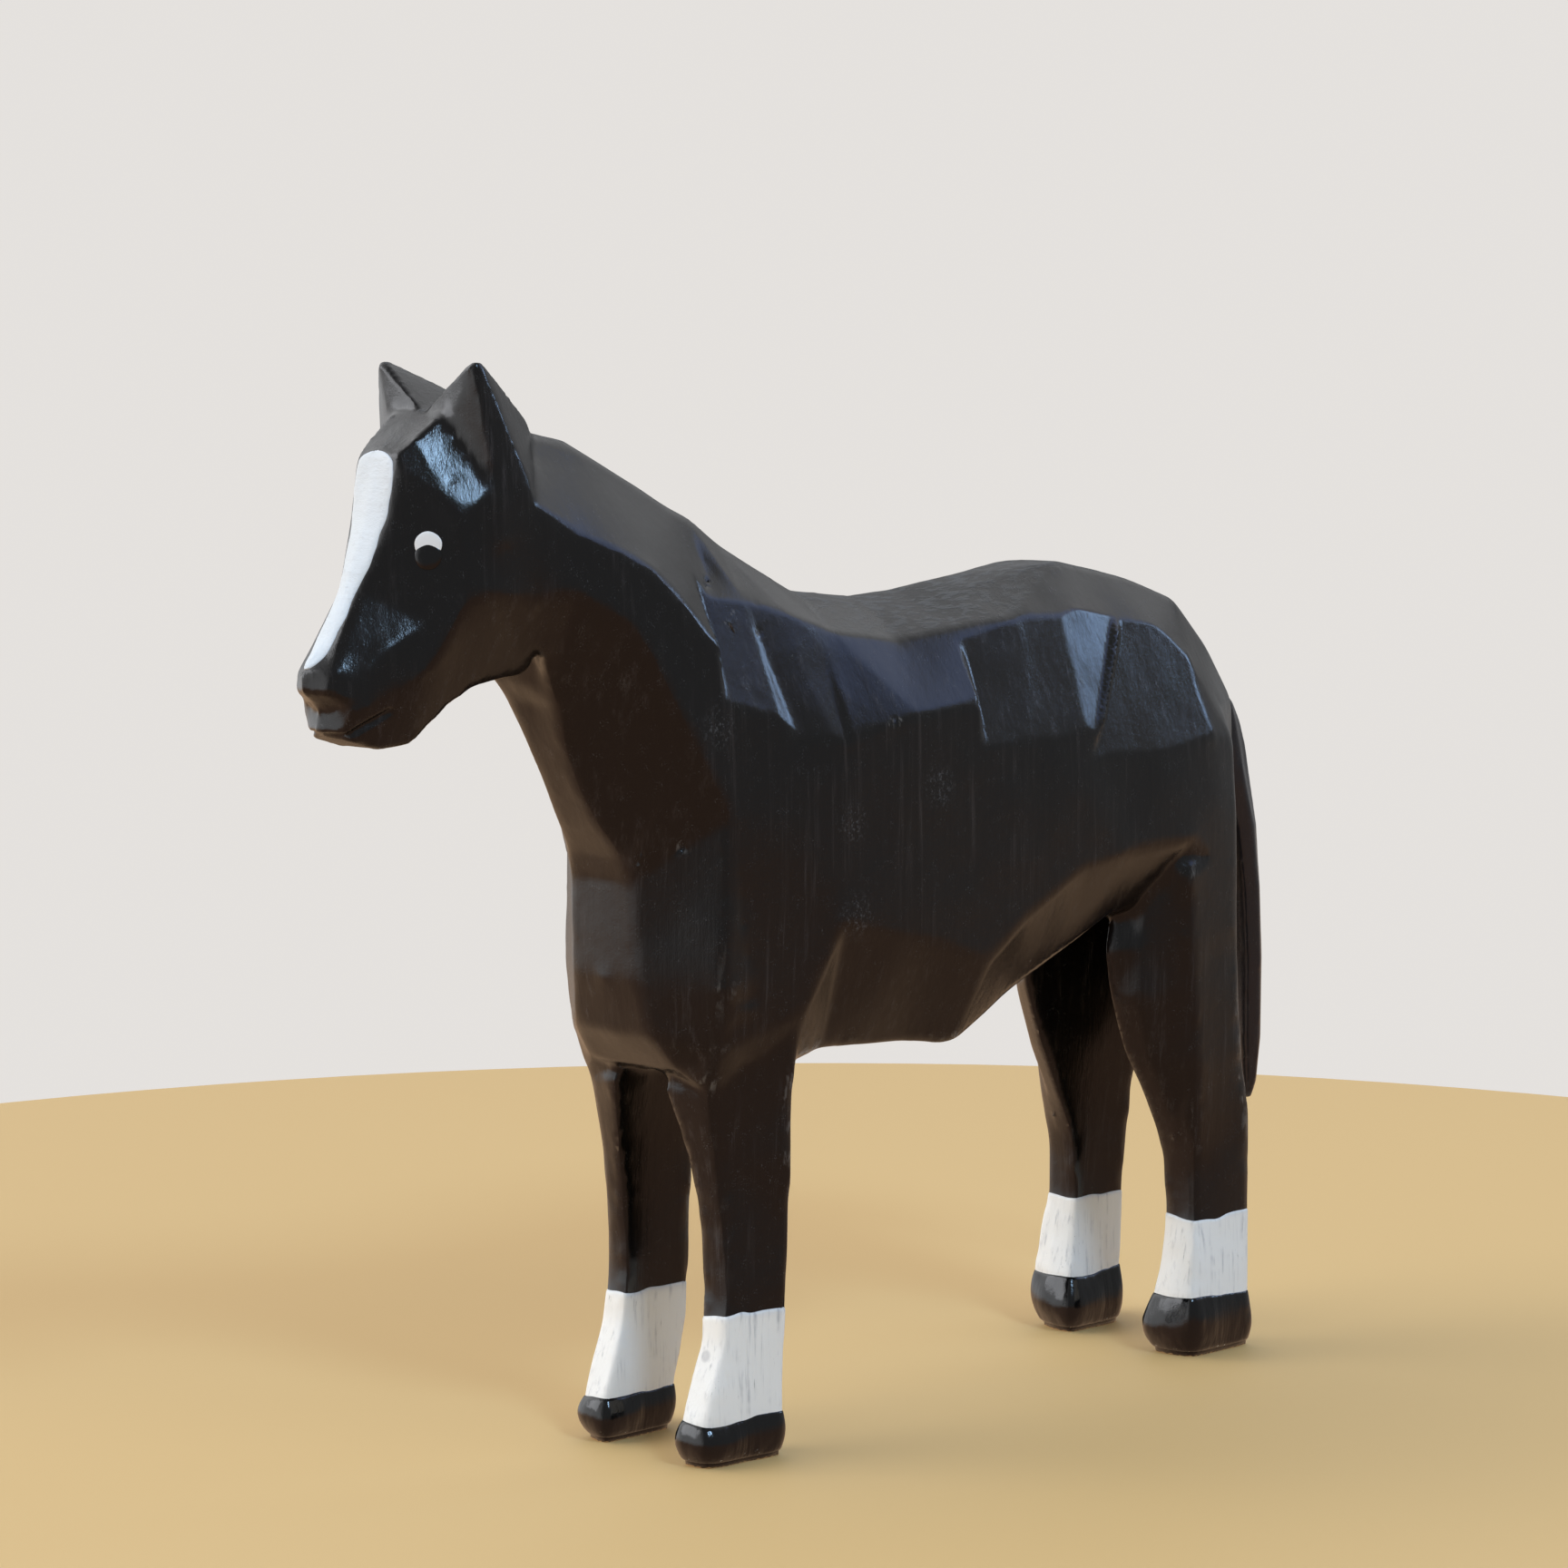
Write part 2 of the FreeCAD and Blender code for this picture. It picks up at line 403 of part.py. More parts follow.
# ---- the whole horse ----
def build():
    left_limbs = [fore_leg(), hind_leg(), ear()]
    blocks = [tube(trunk_rings()), tube(neck_rings()), tube(chest_rings()), tube(head_rings())]
    for shape in left_limbs:
        blocks += [shape, mirrored(shape)]
    wood = joined(blocks)

    white, pupil = eye_coats(wood)
    one_side = {
        "eye_white": white,
        "pupil": pupil,
        "sock_fore": leg_band(fore_leg, FORE_HOOF_H, FORE_SOCK_TOP, wood),
        "sock_hind": leg_band(hind_leg, HIND_HOOF_H, HIND_SOCK_TOP, wood),
        "hoof_fore": leg_band(fore_leg, SOLE_BARE, FORE_HOOF_H, wood),
        "hoof_hind": leg_band(hind_leg, SOLE_BARE, HIND_HOOF_H, wood),
    }
    nodes = {"blaze": blaze_coat(wood)}
    for name, shape in one_side.items():
        nodes[name + "_left"] = shape
        nodes[name + "_right"] = mirrored(shape)

    peg_end = SEAT_Y + PEG_TAIL_DEPTH
    seat_corner = FreeCAD.Vector(-TAIL_HALF - 0.5, SEAT_Y, ROOT_Z - 5.5)
    seat = Part.makeBox(2 * TAIL_HALF + 1, 20, SEAT_H, seat_corner)
    bore = along_y(PEG_R + PEG_CLEAR, peg_end - PEG_LEN, peg_end)
    nodes["tail_peg"] = along_y(PEG_R, peg_end - PEG_LEN, peg_end)
    nodes["tail"] = tail_slip().cut(bore)
    nodes["carved_body"] = wood.cut(seat).cut(bore)
    return nodes


def main():
    nodes = build()
    box = FreeCAD.BoundBox()
    for shape in nodes.values():
        box.add(shape.BoundBox)
    to_origin = FreeCAD.Vector(-box.Center.x, -box.Center.y, -box.ZMin)
    os.makedirs("parts", exist_ok=True)
    for name, shape in sorted(nodes.items()):
        shape.translate(to_origin)
        shape.exportStep("parts/" + name + ".step")
        print(name, "volume", round(shape.Volume, 2), "solids", len(shape.Solids),
              "valid", shape.isValid())
    print("overall", round(box.XLength, 2), round(box.YLength, 2), round(box.ZLength, 2),
          "moved", to_origin)


main()
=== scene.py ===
import math

import bmesh
import bpy
import numpy as np
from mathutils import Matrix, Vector


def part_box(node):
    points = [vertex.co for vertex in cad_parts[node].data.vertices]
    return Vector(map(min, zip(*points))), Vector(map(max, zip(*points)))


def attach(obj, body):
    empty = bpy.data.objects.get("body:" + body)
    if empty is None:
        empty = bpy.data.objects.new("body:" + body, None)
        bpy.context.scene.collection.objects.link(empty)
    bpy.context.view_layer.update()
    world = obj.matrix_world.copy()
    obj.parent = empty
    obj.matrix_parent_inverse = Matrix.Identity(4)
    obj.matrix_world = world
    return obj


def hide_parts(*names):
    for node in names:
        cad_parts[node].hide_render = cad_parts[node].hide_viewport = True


# A hand-carved, painted wooden horse: knife-cut body, tail slip, and coats of white and gloss black paint.
# Lengths in the dictionaries are millimetres, and meshes are in metres. +X is the horse's left, -Y its nose.

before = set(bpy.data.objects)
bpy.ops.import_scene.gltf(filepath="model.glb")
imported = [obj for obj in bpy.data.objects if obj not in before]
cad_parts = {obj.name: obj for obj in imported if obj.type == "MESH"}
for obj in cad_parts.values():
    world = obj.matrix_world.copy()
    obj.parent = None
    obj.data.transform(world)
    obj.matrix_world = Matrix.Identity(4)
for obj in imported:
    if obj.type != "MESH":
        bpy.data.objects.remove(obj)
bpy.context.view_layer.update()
mm = 0.001
print("frame loaded:", len(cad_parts), "parts")


def between(value, low, high):
    # smooth step: 0 below low, 1 above high, and an S-curve in between
    t = np.clip((value - low) / (high - low), 0, 1)
    return t * t * (3 - 2 * t)


def valueNoise(points, size, seed):
    # random numbers from -1 to 1 on a cubic lattice of that cell size, blended between the eight corners
    side = 24
    table = np.random.default_rng(seed).random((side, side, side))
    place = points / size
    base = np.floor(place).astype(int)
    t = place - base
    t = t * t * (3 - 2 * t)
    total = np.zeros(len(points))
    for corner in range(8):
        step = np.array([corner & 1, corner >> 1 & 1, corner >> 2 & 1])
        at = (base + step) % side
        weight = np.prod(np.where(step == 1, t, 1 - t), axis=1)
        total += weight * table[at[:, 0], at[:, 1], at[:, 2]]
    return total * 2 - 1


def neighbourMean(values, edges):
    # mean of each point's neighbours along the mesh's edges
    count = np.bincount(edges.ravel(), minlength=len(values))
    total = np.zeros_like(values)
    for axis in range(values.shape[1]):
        total[:, axis] = (np.bincount(edges[:, 0], values[edges[:, 1], axis], len(values))
                          + np.bincount(edges[:, 1], values[edges[:, 0], axis], len(values)))
    return total / np.maximum(count, 1)[:, None]


def toPolyline(points, line):
    # shortest distance from each point to a line of straight runs
    best = np.full(len(points), 1e9)
    for start, end in zip(line[:-1], line[1:]):
        run = end - start
        t = np.clip((points - start) @ run / (run @ run), 0, 1)
        best = np.minimum(best, np.linalg.norm(points - start - t[:, None] * run, axis=1))
    return best


def relaxed(points, edges, share, times):
    # every point moves that share of the way to its neighbours' mean, that many times
    for _ in range(times):
        points = points + (neighbourMean(points, edges) - points) * share
    return points


def standOut(points, edges, normals, cell):
    # how far each point stands out from its neighbours' mean, counted in cells
    return np.sum((points - neighbourMean(points, edges)) * normals, axis=1) / cell


def readPoints(mesh):
    values = np.empty(len(mesh.vertices) * 3, np.float32)
    mesh.vertices.foreach_get("co", values)
    return values.reshape(-1, 3).astype(float)


def readNormals(mesh):
    values = np.empty(len(mesh.vertices) * 3, np.float32)
    mesh.vertex_normals.foreach_get("vector", values)
    return values.reshape(-1, 3).astype(float)


def readEdges(mesh):
    values = np.empty(len(mesh.edges) * 2, np.int32)
    mesh.edges.foreach_get("vertices", values)
    return values.reshape(-1, 2)


def writePoints(mesh, points):
    mesh.vertices.foreach_set("co", points.astype(np.float32).ravel())
    mesh.update()


def writeShare(mesh, name, values):
    layer = mesh.attributes.new(name, "FLOAT", "POINT")
    layer.data.foreach_set("value", values.astype(np.float32))


def closedSurface(name, grid, ring=False):
    # grid[row, column] of points, closed round its columns; ring joins the last row to the first, as on a
    # band, and otherwise each end row is closed by a fan to its own middle
    rows, columns = grid.shape[:2]
    points = grid.reshape(-1, 3)
    r, c = np.meshgrid(np.arange(rows if ring else rows - 1), np.arange(columns), indexing="ij")
    after, right = (r + 1) % rows, (c + 1) % columns
    here, above = r * columns, after * columns
    quads = np.stack([here + c, here + right, above + right, above + c], -1)
    faces = quads.reshape(-1, 4).tolist()
    if not ring:
        points = np.vstack([points, grid[0].mean(0), grid[-1].mean(0)])
        turn = np.arange(columns)
        follow = (turn + 1) % columns
        last = (rows - 1) * columns
        faces += np.stack([follow, turn, np.full(columns, rows * columns)], -1).tolist()
        faces += np.stack([last + turn, last + follow, np.full(columns, rows * columns + 1)], -1).tolist()
    mesh = bpy.data.meshes.new(name)
    mesh.from_pydata(points.tolist(), [], faces)
    work = bmesh.new()
    work.from_mesh(mesh)
    bmesh.ops.remove_doubles(work, verts=work.verts, dist=1e-7)
    bmesh.ops.recalc_face_normals(work, faces=work.faces)
    work.to_mesh(mesh)
    work.free()
    mesh.shade_smooth()
    piece = bpy.data.objects.new(name, mesh)
    bpy.context.scene.collection.objects.link(piece)
    return piece


def evaluatedMesh(piece):
    bpy.context.view_layer.update()
    seen = piece.evaluated_get(bpy.context.evaluated_depsgraph_get())
    return bpy.data.meshes.new_from_object(seen)


def remeshed(name, node, voxel):
    # the CAD solid's own skin, welded and cut into small even squares
    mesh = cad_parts[node].data.copy()
    work = bmesh.new()
    work.from_mesh(mesh)
    bmesh.ops.remove_doubles(work, verts=work.verts, dist=1e-6)
    work.to_mesh(mesh)
    work.free()
    piece = bpy.data.objects.new(name, mesh)
    bpy.context.scene.collection.objects.link(piece)
    change = piece.modifiers.new("even", "REMESH")
    change.mode = "VOXEL"
    change.voxel_size = voxel
    fine = evaluatedMesh(piece)
    piece.modifiers.clear()
    piece.data = fine
    piece.data.name = name
    piece.data.materials.clear()
    return piece


def laidOn(grid, target, lengthwise=False):
    # every point of the grid slides along its sheet's normal, or along Y, until it meets the target's skin
    mesh = bpy.data.meshes.new("feeler")
    rows, columns = grid.shape[:2]
    r, c = np.meshgrid(np.arange(rows - 1), np.arange(columns - 1), indexing="ij")
    first = r * columns + c
    quads = np.stack([first, first + 1, first + columns + 1, first + columns], -1).reshape(-1, 4)
    mesh.from_pydata(grid.reshape(-1, 3).tolist(), [], quads.tolist())
    feeler = bpy.data.objects.new("feeler", mesh)
    bpy.context.scene.collection.objects.link(feeler)
    wrap = feeler.modifiers.new("lay", "SHRINKWRAP")
    wrap.target = target
    wrap.wrap_method = "PROJECT"
    wrap.use_project_y = lengthwise
    wrap.use_positive_direction = True
    wrap.use_negative_direction = True
    landed = readPoints(evaluatedMesh(feeler)).reshape(grid.shape)
    bpy.data.objects.remove(feeler)
    return landed


def finishPiece(piece, material, slotName, *nodes):
    piece.data.materials.append(material)
    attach(piece, "root")
    if nodes:
        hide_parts(*nodes)
    return piece


class Wire:
    def __init__(self, maker, socket):
        self.maker, self.socket = maker, socket

    def __add__(self, other):
        return self.maker.maths("ADD", self, other)

    def __radd__(self, other):
        return self.maker.maths("ADD", other, self)

    def __sub__(self, other):
        return self.maker.maths("SUBTRACT", self, other)

    def __rsub__(self, other):
        return self.maker.maths("SUBTRACT", other, self)

    def __mul__(self, other):
        return self.maker.maths("MULTIPLY", self, other)

    def __rmul__(self, other):
        return self.maker.maths("MULTIPLY", other, self)


class Maker:
    def __init__(self, owner):
        # owner is a new material or world, whose nodes this fills
        self.owner = owner
        owner.use_nodes = True
        self.tree = owner.node_tree
        self.tree.nodes.clear()

    def node(self, kind, settings=None, inputs=None, out=0):
        made = self.tree.nodes.new("ShaderNode" + kind)
        for key, value in (settings or {}).items():
            setattr(made, key, value)
        for key, value in (inputs or {}).items():
            if isinstance(value, Wire):
                self.tree.links.new(value.socket, made.inputs[key])
            else:
                made.inputs[key].default_value = value
        return Wire(self, made.outputs[out]) if len(made.outputs) else None

    def maths(self, operation, a, b):
        return self.node("Math", {"operation": operation}, {0: a, 1: b})

    def step(self, value, low, high):
        # 0 below low, 1 above high, smooth in between
        return self.node("MapRange", {"interpolation_type": "SMOOTHSTEP"},
                         {"Value": value, "From Min": low, "From Max": high})

    def colour(self, share, a, b):
        return self.node("Mix", {"data_type": "RGBA"}, {0: share, 6: a, 7: b}, out=2)

    def place(self, stretch):
        # object coordinates, counted in millimetres times stretch
        at = self.node("TexCoord", out="Object")
        return self.node("VectorMath", {"operation": "MULTIPLY"}, {0: at, 1: [1000 * s for s in stretch]})

    def noise(self, stretch, detail=2.0, rough=0.5):
        return self.node("TexNoise", {}, {"Vector": self.place(stretch), "Scale": 1.0, "Detail": detail,
                                          "Roughness": rough})

    def share(self, name):
        return self.node("Attribute", {"attribute_name": name}, out="Fac")

    def near(self, spot, reach, both=True):
        # 1 at a spot given in millimetres, falling to 0 at its reach, on both sides of the horse or on one
        x, y, z = self.axes()
        side = self.node("Math", {"operation": "ABSOLUTE"}, {0: x}) if both else x
        at = self.node("CombineXYZ", {}, {0: side, 1: y, 2: z})
        apart = self.node("VectorMath", {"operation": "DISTANCE"}, {0: at, 1: spot}, out="Value")
        return 1 - self.step(apart, 0.15 * reach, reach)

    def axes(self):
        at = self.place((1, 1, 1))
        split = self.node("SeparateXYZ", {}, {0: at})
        sockets = split.socket.node.outputs
        return [Wire(self, sockets[i]) for i in range(3)]

    def finish(self, constants, height, depth, **varying):
        # depth is the millimetres that one unit of height stands for
        normal = self.node("Bump", {}, {"Height": height, "Strength": 1.0, "Distance": depth * mm})
        shader = self.node("BsdfPrincipled", {}, {**constants, **varying, "Normal": normal})
        self.node("OutputMaterial", {}, {"Surface": shader})
        return self.owner


blackWood = {
    "paint": (0.0042, 0.0037, 0.0037, 1),     # satin black, a touch brown
    "thin": (0.028, 0.025, 0.025, 1),         # where the brush left little paint on the ridges of the grain
    # pale grey of the scuffs and specks, also used for the painted highlight on the back's top strip
    "scuff": (0.085, 0.09, 0.095, 1),
    "arrisSheen": (0.11, 0.105, 0.10, 1),           # painted highlight: a pale line along the sharpest arrises, where they catch the light
    "bareWood": (0.55, 0.36, 0.18, 1),
    "gloss": 0.16,                            # roughness of the paint
    "scuffs": (                               # places of the scuffs on the flanks, each with its reach
        (12.1, -8.9, 58.0, 2.6), (12.2, 2.2, 60.6, 2.8), (12.0, -8.4, 49.4, 3.0), (10.8, -24.4, 67.6, 2.6),
    ),
    "backTop": (69, 73),                      # height over which the top strip of the back begins: rougher end grain there, also painted paler as a highlight
    "soleEdge": (0.18, 0.30),                 # height over which the bare sole turns into paint
}


def blackPaint(name, paint=blackWood["paint"], lively=1.0):
    m = Maker(bpy.data.materials.new(name))
    z = m.axes()[2]
    grain = m.noise((1.15, 1.15, 0.045), 4, 0.6)
    fibre = m.noise((5.5, 5.5, 0.22), 3, 0.6)
    patch = m.noise((0.12, 0.12, 0.09), 2)
    grit = m.noise((8.5, 8.5, 7.0), 2, 0.6)
    lump = m.noise((1.1, 1.1, 0.8), 2)
    endGrain = m.share("endGrain")
    arrisSheen = m.share("arrisSheen")
    # pale streaks where the grain's ridges show through, more in some patches than in others
    streak = m.step(grain, 0.50, 0.70) * m.step(patch, 0.36, 0.60) * m.step(fibre, 0.36, 0.60)
    speck = m.step(grit, 0.61, 0.68) * m.step(m.noise((0.9, 0.9, 0.9), 3), 0.50, 0.66)
    sheenBreakup = m.noise((1.6, 1.6, 0.5), 3)
    scuff = 0
    for *spot, reach in blackWood["scuffs"]:
        scuff = m.near(spot, reach) + scuff
    scuff = scuff * m.step(m.noise((2.6, 2.6, 2.2), 6, 0.8), 0.52, 0.62)
    tone = m.colour(streak * 0.75 * lively, paint, blackWood["thin"])
    tone = m.colour(speck * 0.5 + scuff * 0.6, tone, blackWood["scuff"])
    # painted highlight: the sharp arrises are drawn paler, broken up by noise
    tone = m.colour(arrisSheen * m.step(sheenBreakup, 0.46, 0.62) * 0.9, tone, blackWood["arrisSheen"])
    # the upward-facing top strip: rougher end grain, and painted paler there as a highlight on the top
    topGrainAndSheen = endGrain * m.step(z, *blackWood["backTop"])
    topGrainAndSheen = topGrainAndSheen * m.step(m.noise((1.6, 0.6, 1.6), 3, 0.6), 0.45, 0.62)
    tone = m.colour(topGrainAndSheen * 0.45, tone, blackWood["scuff"])
    sole = 1 - m.step(z + m.noise((2.2, 2.2, 2.2), 2) * 0.35, *blackWood["soleEdge"])
    tone = m.colour(sole, tone, blackWood["bareWood"])
    rough = blackWood["gloss"] + streak * 0.12 + scuff * 0.15 + endGrain * 0.22 + (patch - 0.5) * 0.15
    rough = rough + sole * 0.4
    height = grain * 0.018 + fibre * 0.008 + grit * 0.010 + lump * 0.016
    height = height + grit * endGrain * 0.05 + fibre * topGrainAndSheen * 0.08
    return m.finish({"IOR": 1.5}, height, 1.0, **{"Base Color": tone, "Roughness": rough})


whiteCoat = {
    "paint": (0.78, 0.785, 0.77, 1),
    "streak": (0.46, 0.47, 0.49, 1),          # grey where the wood's grain shows through the thin coat
    "dark": (0.10, 0.10, 0.11, 1),            # hair lines and missed pores
}


def whitePaint(name, stretch, streaks, paint=whiteCoat["paint"], knot=None):
    # stretch sets which way the streaks run, streaks how strong they are; knot is a spot and its reach
    m = Maker(bpy.data.materials.new(name))
    grain = m.noise([s * 2.3 for s in stretch], 4, 0.6)
    hair = m.noise([s * 6.0 for s in stretch], 3, 0.6)
    cloud = m.noise((0.5, 0.5, 0.5), 2)
    dot = m.noise((4.0, 4.0, 4.0), 1)
    thin = m.share("thin")
    streak = m.step(grain, 0.50, 0.74) * m.step(cloud, 0.35, 0.65)
    line = m.step(hair, 0.66, 0.74) * m.step(cloud, 0.42, 0.62)
    if knot:
        *spot, reach = knot
        rim = m.near(spot, reach, False)
        ring = rim * (1 - rim) * 4
        streak = streak + ring * 0.7 + m.near(spot, reach * 0.55, False) * 0.5
    tone = m.colour(streak * streaks + thin * 0.35, paint, whiteCoat["streak"])
    tone = m.colour(line * streaks * 0.8 + m.step(dot, 0.79, 0.84) * 0.4, tone, whiteCoat["dark"])
    rough = 0.42 + streak * 0.15 + (cloud - 0.5) * 0.15
    height = grain * 0.05 + hair * 0.02 + cloud * 0.03
    return m.finish({"IOR": 1.48}, height, 1.0, **{"Base Color": tone, "Roughness": rough})


glossCoat = {
    "paint": (0.0035, 0.0036, 0.0038, 1),
    "chip": (0.62, 0.60, 0.55, 1),
}


def glossPaint(name):
    m = Maker(bpy.data.materials.new(name))
    z = m.axes()[2]
    ripple = m.noise((1.1, 1.1, 0.35), 2)
    grit = m.noise((6.0, 6.0, 6.0), 2)
    chips = m.noise((1.7, 1.7, 3.0), 3, 0.65)
    lowEdge = 1 - m.step(z, 0.45, 1.3)
    chip = m.step(chips, 0.66, 0.69) * lowEdge + m.step(grit, 0.74, 0.77) * lowEdge * 0.6
    tone = m.colour(chip, glossCoat["paint"], glossCoat["chip"])
    rough = 0.13 + (ripple - 0.5) * 0.10 + chip * 0.35
    height = ripple * 0.07 + grit * 0.012
    return m.finish({"IOR": 1.52}, height, 1.0, **{"Base Color": tone, "Roughness": rough})


def dowelWood(name):
    m = Maker(bpy.data.materials.new(name))
    grain = m.noise((3.0, 0.25, 3.0), 4, 0.6)
    tone = m.colour(m.step(grain, 0.35, 0.7), (0.62, 0.44, 0.25, 1), (0.42, 0.27, 0.13, 1))
    rough = 0.6 + (grain - 0.5) * 0.2
    return m.finish({"IOR": 1.45}, grain, 0.05, **{"Base Color": tone, "Roughness": rough})


body = {
    "voxel": 0.43,
    "rounds": 2,                  # how far the knife's arrises are softened
    "ridge": (0.02, 0.05),        # bend where an arris starts to count as one, and where it fully does
    "straighten": 14,             # how far the arrises are straightened along their run
    "planing": 45,                # how far the faint folds between arrises are planed away
    "keep": (0.007, 0.014),       # bend of the folds that are planed away, and of the arrises that stay
    "waver": 0.07,                # slow unevenness of the cut faces
    "nick": 0.05,                 # small dents along the arrises
    "soften": 0.55,               # share of the way to the neighbours' mean in each softening round
    "fineZones": (                # boxes with half-size squares: muzzle, ears
        ((-9, -64, 66), (9, -48, 74)),
        ((-9, -54, 91), (9, -40, 101)),
    ),
    # flat slices: a point on the slice, its outward direction, and the walls that end it, each with a point
    # and the direction in which the slice goes on from there
    "slices": (
        ((3.77, -52.21, 92.02), (0.775, -0.539, 0.331),
         (((0, -49.5, 0), (0, -1, 0)), ((0, 0, 95.6), (0, 0, -1)))),
        ((12.0, 13.5, 64.0), (0.947, 0.0, 0.321), (((0, 8.0, 0), (0, 1, 0)),)),
        ((8.0, 23.4, 75.3), (0.938, 0.125, 0.323), (((0, 31.6, 73.5), (0, -0.817, 0.577)),)),
        ((8.4, -15.8, 75.3), (0.935, 0.03, 0.353), (((0, -24.0, 0), (0, 1, 0)), ((0, -9.0, 0), (0, -1, 0)))),
        ((10.55, 42.5, 63.8), (0.944, 0.03, 0.328),
         (((0, 31.6, 73.5), (0, 0.817, -0.577)), ((0, 0, 58.0), (0, 0, 1)))),
    ),
    "wallWidth": 0.7,             # over this width a slice fades out at its walls
    # line, half-width and depth of each cut of the knife's point
    "cuts": (
        (((-4.3, -56.2, 70.4), (-3.3, -58.5, 69.2), (-2.5, -59.8, 68.4), (0, -60.6, 68.2),
          (2.5, -59.8, 68.4), (3.3, -58.5, 69.2), (4.3, -56.2, 70.4)), 0.50, 0.45),
        (((4.55, -51.1, 93.55), (6.1, -50.0, 90.3)), 0.30, 0.22),
        (((6.1, -50.0, 90.3), (5.5, -50.9, 89.9)), 0.25, 0.12),
    ),
}


def makeBody():
    piece = remeshed("bodyWood", "carved_body", body["voxel"] * mm)
    mesh = piece.data
    points = readPoints(mesh)
    work = bmesh.new()
    work.from_mesh(mesh)
    work.verts.ensure_lookup_table()
    for low, high in body["fineZones"]:
        inside = np.all((points > np.array(low) * mm) & (points < np.array(high) * mm), axis=1)
        chosen = [work.verts[i] for i in np.flatnonzero(inside)]
        edges = list({edge for vert in chosen for edge in vert.link_edges
                      if inside[edge.other_vert(vert).index]})
        bmesh.ops.subdivide_edges(work, edges=edges, cuts=1, use_grid_fill=True)
        work.verts.ensure_lookup_table()
        work.verts.index_update()
        points = np.array([vert.co for vert in work.verts])
    work.to_mesh(mesh)
    work.free()
    points, edges = readPoints(mesh), readEdges(mesh)
    cad = points.copy()
    cell = body["voxel"] * mm
    points = relaxed(points, edges, body["soften"], body["rounds"])
    writePoints(mesh, points)
    bend = np.abs(standOut(points, edges, readNormals(mesh), cell))
    bend = relaxed(bend[:, None], edges, 1, 2)[:, 0]
    ridge = between(bend, *body["ridge"])[:, None]
    for _ in range(body["straighten"]):                                 # arrises run straight
        beside = neighbourMean(points * ridge, edges) / np.maximum(neighbourMean(ridge, edges), 1e-6)
        points = points + (beside - points) * 0.5 * ridge
    free = 1 - between(bend, *body["keep"])[:, None]                    # real arrises stay, faint folds go
    points = relaxed(points, edges, 0.6 * free, body["planing"])
    points[:, 2] = np.where(cad[:, 2] < 0.1 * mm, cad[:, 2].min(), points[:, 2])    # soles stay flat
    writePoints(mesh, points)
    at = points / mm
    arris = relaxed(standOut(points, edges, readNormals(mesh), cell)[:, None], edges, 1, 2)[:, 0]
    sharp = between(arris, 0.010, 0.05)
    inward = body["waver"] * (0.6 + 0.4 * valueNoise(at, 7.0, 3) + 0.35 * valueNoise(at, 3.1, 4))
    inward += body["nick"] * sharp * between(valueNoise(at, 2.4, 5), 0.1, 0.8)
    for spot, outward, walls in body["slices"]:
        outward = np.array(outward) / np.linalg.norm(outward)
        for side in (1, -1):
            mirror = np.array([side, 1, 1])
            above = (at - np.array(spot) * mirror) @ (outward * mirror)
            for corner, onward in walls:
                above = above * between((at - np.array(corner)) @ np.array(onward), 0, body["wallWidth"])
            at = at - np.clip(above, 0, None)[:, None] * (outward * mirror)
    points = at * mm
    writePoints(mesh, points)
    normals = readNormals(mesh)
    for line, half, depth in body["cuts"]:
        apart = toPolyline(at, np.array(line, float))
        inward = inward + depth * np.clip(1 - apart / half, 0, 1)
    clear = between(at[:, 2], 0.3, 1.5)                                 # nothing moves at the soles
    points = points - normals * (inward * clear)[:, None] * mm
    writePoints(mesh, points)
    # painted highlight mask: sharp arrises on the legs, away from the middle line, between 15 and 30 mm up,
    # are drawn paler
    rear = between(np.abs(at[:, 0]), 6.0, 8.0) * between(at[:, 2], 15, 30)
    writeShare(mesh, "arrisSheen", between(arris, 0.035, 0.07) * rear)
    # faces pointing up or down count as end grain; above the back's top height these faces are also painted
    # paler, a painted highlight
    up = between(normals[:, 2], 0.75, 0.95) + between(-normals[:, 2], 0.8, 0.97)
    writeShare(mesh, "endGrain", np.clip(up, 0, 1))
    mesh.shade_smooth()
    return finishPiece(piece, blackPaint("satinBlackPaint"), "black_painted_wood", "carved_body")


bodyWood = makeBody()
print("body carved:", len(bodyWood.data.polygons), "faces")


tail = {
    # painted highlight: a paler copy of the body's black paint, standing in for the grey sheen on the tail's
    # side
    "paint": (0.017, 0.0145, 0.0155, 1),
    "voxel": 0.26,
    "rounds": 5,
    "flute": 0.10,                # depth of the long shallow grooves down the tail
}


def makeTail():
    piece = remeshed("tailSlip", "tail", tail["voxel"] * mm)
    mesh = piece.data
    points, edges = readPoints(mesh), readEdges(mesh)
    points = relaxed(points, edges, body["soften"], tail["rounds"])
    writePoints(mesh, points)
    normals = readNormals(mesh)
    stretched = points / mm * np.array([1, 1, 0.12])
    inward = tail["flute"] * (0.5 + 0.5 * valueNoise(stretched, 0.9, 8))
    writePoints(mesh, points - normals * inward[:, None] * mm)
    arris = standOut(points, edges, normals, tail["voxel"] * mm)
    # painted highlight mask: the tail's sharp arrises are drawn paler
    writeShare(mesh, "arrisSheen", between(arris, 0.05, 0.12))
    writeShare(mesh, "endGrain", between(normals[:, 2], 0.7, 0.95))
    mesh.shade_smooth()
    # the tail's paler black is a painted sheen
    paint = blackPaint("tailSheenBlackPaint", tail["paint"], 1.3)
    return finishPiece(piece, paint, "black_painted_wood", "tail")


makeTail()
print("tail carved")


